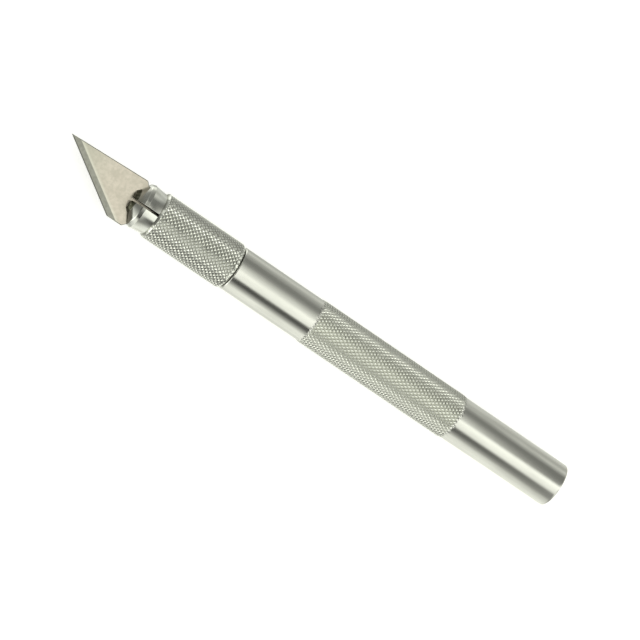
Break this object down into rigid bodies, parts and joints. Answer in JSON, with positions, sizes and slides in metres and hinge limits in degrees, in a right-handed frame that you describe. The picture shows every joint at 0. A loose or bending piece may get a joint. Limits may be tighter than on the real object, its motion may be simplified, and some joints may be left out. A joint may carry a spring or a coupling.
{
  "type": "craft knife",
  "caption": "Craft knife: a slant-edged flat blade held in a slotted collet, drawn tight by a knurled collar on a round bar with a knurled grip.",
  "frame": {"origin": "centre of the flat face at the tail of the barrel", "axes": "+X along the knife from the tail to the tip, +Y towards the cutting edge, +Z square to the flat of the blade and up as the knife lies"},
  "size_m": [0.1422, 0.0122, 0.0118],
  "materials": {
    "bar_aluminium": "turned and polished bar with a rolled diamond knurl on the grip",
    "collar_aluminium": "diamond knurl all over, bright bevelled mouth",
    "plated_steel": "bright nickel plate with turning marks",
    "blade_steel": "rolled satin flats, ground and honed edge"
  },
  "bodies": {
    "barrel": {"barrel": "bar_aluminium"},
    "collar": {"collar": "collar_aluminium"},
    "collet": {"collet": "plated_steel"},
    "blade": {"blade": "blade_steel"}
  },
  "joints": [
    {"name": "collar_turn", "type": "hinge", "parent": "barrel", "child": "collar", "pos_m": [0.1, 0, 0], "axis": [1, 0, 0], "range_deg": [0, 720]},
    {"name": "collet_advance", "type": "slide", "parent": "collar", "child": "collet", "axis": [1, 0, 0], "range_m": [0, 0.0016]},
    {"name": "blade_draw", "type": "slide", "parent": "collet", "child": "blade", "axis": [1, 0, 0], "range_m": [0, 0.0215]}
  ],
  "couplings": [
    {"joint": "collet_advance", "follows": "collar_turn", "m_per_rad": 0.00012732}
  ]
}
